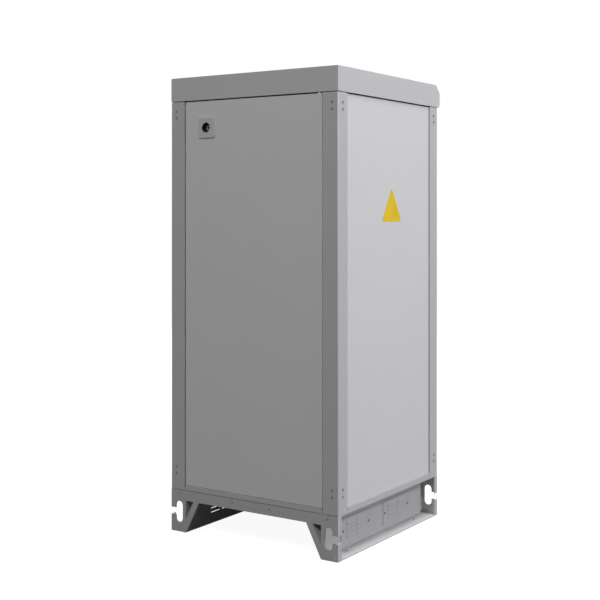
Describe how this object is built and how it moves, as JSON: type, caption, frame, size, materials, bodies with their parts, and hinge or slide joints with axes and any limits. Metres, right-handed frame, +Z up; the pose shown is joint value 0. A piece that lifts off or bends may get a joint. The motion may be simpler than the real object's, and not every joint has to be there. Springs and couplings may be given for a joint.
{
  "type": "floor-standing distribution cabinet",
  "caption": "Square sheet-steel power distribution cabinet with a visored roof, hinged front door and cup lock, on a skid base with lifting slots and louvred vents.",
  "frame": {"origin": "centre of the anchor holes on the floor", "axes": "+Z up, -Y towards the front with the lock, +X to the right of someone who faces the lock"},
  "size_m": [0.8044, 0.8362, 1.845],
  "materials": {
    "cabinet_paint": "satin powder coat",
    "base_paint": "satin powder coat",
    "lock_paint": "satin powder coat",
    "lock_core_black": "black oxide",
    "zinc_steel": "zinc plated",
    "copper": "bare copper",
    "breaker_plastic": "moulded",
    "toggle_plastic": "moulded",
    "gasket_rubber": "foamed",
    "insulator_resin": "cast resin",
    "gland_plastic": "moulded"
  },
  "bodies": {
    "cabinet": {"base_front": "base_paint", "base_rear": "base_paint", "base_left": "base_paint", "base_right": "base_paint", "vent_cover_front_left": "base_paint", "vent_cover_rear_left": "base_paint", "vent_cover_front_right": "base_paint", "vent_cover_rear_right": "base_paint", "vent_screws": "zinc_steel", "base_bolts": "zinc_steel", "bottom_frame": "cabinet_paint", "top_frame": "cabinet_paint", "post_front_left": "cabinet_paint", "post_front_right": "cabinet_paint", "post_rear_right": "cabinet_paint", "post_rear_left": "cabinet_paint", "post_screws": "zinc_steel", "roof": "cabinet_paint", "roof_nuts": "zinc_steel", "left_panel": "cabinet_paint", "right_panel": "cabinet_paint", "rear_panel": "cabinet_paint", "panel_screws": "zinc_steel", "hinge_pins": "zinc_steel", "mounting_plate": "zinc_steel", "plate_rails": "zinc_steel", "rail_bolts": "zinc_steel", "inner_screws": "zinc_steel", "main_breaker": "breaker_plastic", "feeder_breaker_1": "breaker_plastic", "feeder_breaker_2": "breaker_plastic", "feeder_breaker_3": "breaker_plastic", "feeder_breaker_4": "breaker_plastic", "phase_bar_1": "copper", "phase_bar_2": "copper", "phase_bar_3": "copper", "busbar_supports": "insulator_resin", "main_links": "copper", "feeder_links": "copper", "neutral_bar": "copper", "earth_bar": "copper", "bar_standoffs": "insulator_resin", "gland_plate": "zinc_steel", "cable_glands": "gland_plastic", "gland_nuts": "gland_plastic"},
    "door": {"front_door": "cabinet_paint", "door_frame": "cabinet_paint", "door_gasket": "gasket_rubber", "door_stiffener": "zinc_steel", "hinge_bushes": "copper", "lock_body": "lock_paint", "lock_nut": "zinc_steel"},
    "lock": {"lock_core": "lock_core_black", "lock_cam": "zinc_steel", "lock_cam_screw": "zinc_steel"},
    "main_switch": {"main_toggle": "toggle_plastic"},
    "feeder_switch_1": {"feeder_toggle_1": "toggle_plastic"},
    "feeder_switch_2": {"feeder_toggle_2": "toggle_plastic"},
    "feeder_switch_3": {"feeder_toggle_3": "toggle_plastic"},
    "feeder_switch_4": {"feeder_toggle_4": "toggle_plastic"}
  },
  "joints": [
    {"name": "door_hinge", "type": "hinge", "parent": "cabinet", "child": "door", "pos_m": [0.312, -0.392, 0.97], "axis": [0, 0, 1], "range_deg": [0, 110]},
    {"name": "lock_turn", "type": "hinge", "parent": "door", "child": "lock", "pos_m": [-0.22, -0.375, 1.638], "axis": [0, 1, 0], "range_deg": [0, 90]},
    {"name": "main_toggle_throw", "type": "hinge", "parent": "cabinet", "child": "main_switch", "pos_m": [0, 0.205, 1.355], "axis": [-1, 0, 0], "range_deg": [0, 40]},
    {"name": "feeder_toggle_1_throw", "type": "hinge", "parent": "cabinet", "child": "feeder_switch_1", "pos_m": [-0.18, 0.222, 0.7725], "axis": [-1, 0, 0], "range_deg": [0, 40]},
    {"name": "feeder_toggle_2_throw", "type": "hinge", "parent": "cabinet", "child": "feeder_switch_2", "pos_m": [-0.06, 0.222, 0.7725], "axis": [-1, 0, 0], "range_deg": [0, 40]},
    {"name": "feeder_toggle_3_throw", "type": "hinge", "parent": "cabinet", "child": "feeder_switch_3", "pos_m": [0.06, 0.222, 0.7725], "axis": [-1, 0, 0], "range_deg": [0, 40]},
    {"name": "feeder_toggle_4_throw", "type": "hinge", "parent": "cabinet", "child": "feeder_switch_4", "pos_m": [0.18, 0.222, 0.7725], "axis": [-1, 0, 0], "range_deg": [0, 40]}
  ]
}
